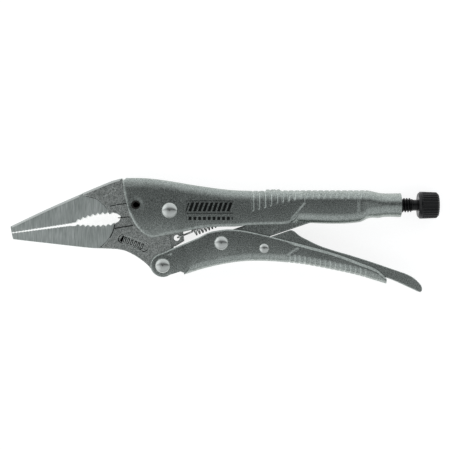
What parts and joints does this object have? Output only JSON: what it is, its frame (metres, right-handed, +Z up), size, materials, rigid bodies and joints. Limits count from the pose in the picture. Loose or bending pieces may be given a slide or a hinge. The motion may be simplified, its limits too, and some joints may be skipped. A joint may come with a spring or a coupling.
{
  "type": "locking pliers",
  "caption": "Long-nose locking pliers with an over-centre toggle, wire-cutter notch, return spring, release lever and a screw that sets the grip.",
  "frame": {"origin": "jaw pivot axis, in the plane of the flat rivet heads that the tool rests on when it lies on its side", "axes": "+X from the jaws towards the adjusting knob, +Y from the lever handle towards the fixed handle, +Z up, along every pivot"},
  "size_m": [0.2349, 0.0626, 0.0178],
  "materials": {
    "satin_steel": "nickel plated over a blasted, slightly pebbled steel",
    "ground_steel": "forged steel, noses ground with fine cross scratches",
    "polished_steel": "polished domed rivet heads",
    "spring_steel": "bright drawn wire",
    "dark_pin": "black oxide",
    "black_screw": "black oxide, satin"
  },
  "bodies": {
    "handle": {"handle_body": "satin_steel", "fixed_jaw": "ground_steel", "jaw_lock_pin": "dark_pin", "jaw_pivot_rivet": "polished_steel", "return_spring": "spring_steel"},
    "jaw": {"moving_jaw": "ground_steel"},
    "lever": {"lever_handle": "satin_steel", "lever_pivot_rivet": "polished_steel", "link_rivet": "polished_steel", "release_rivet": "polished_steel"},
    "link": {"toggle_link": "satin_steel"},
    "release": {"release_lever": "satin_steel"},
    "screw": {"adjusting_screw": "black_screw"},
    "knob": {"adjusting_knob": "black_screw"}
  },
  "joints": [
    {"name": "jaw_pivot", "type": "hinge", "parent": "handle", "child": "jaw", "pos_m": [0, 0, 0.0081], "axis": [0, 0, 1], "range_deg": [0, 16.5], "deforming": ["return_spring"]},
    {"name": "lever_pivot", "type": "hinge", "parent": "jaw", "child": "lever", "pos_m": [-0.0037, -0.03, 0.0081], "axis": [0, 0, 1], "range_deg": [-55, 0]},
    {"name": "link_pivot", "type": "hinge", "parent": "lever", "child": "link", "pos_m": [0.0282, -0.0177, 0.0081], "axis": [0, 0, 1], "range_deg": [0, 60.77]},
    {"name": "release_pivot", "type": "hinge", "parent": "lever", "child": "release", "pos_m": [0.0515, -0.0206, 0.0081], "axis": [0, 0, 1], "range_deg": [0, 1]},
    {"name": "screw_feed", "type": "slide", "parent": "handle", "child": "screw", "axis": [1, 0, 0], "range_m": [0, 0.018]},
    {"name": "knob_turn", "type": "hinge", "parent": "screw", "child": "knob", "pos_m": [0.141, 0.003, 0.0081], "axis": [1, 0, 0], "range_deg": [0, 4320]}
  ],
  "couplings": [
    {"joint": "jaw_pivot", "follows": "lever_pivot", "ratio": -0.3},
    {"joint": "link_pivot", "follows": "lever_pivot", "ratio": -1.105},
    {"joint": "knob_turn", "follows": "screw_feed", "rad_per_m": 4188.8}
  ]
}
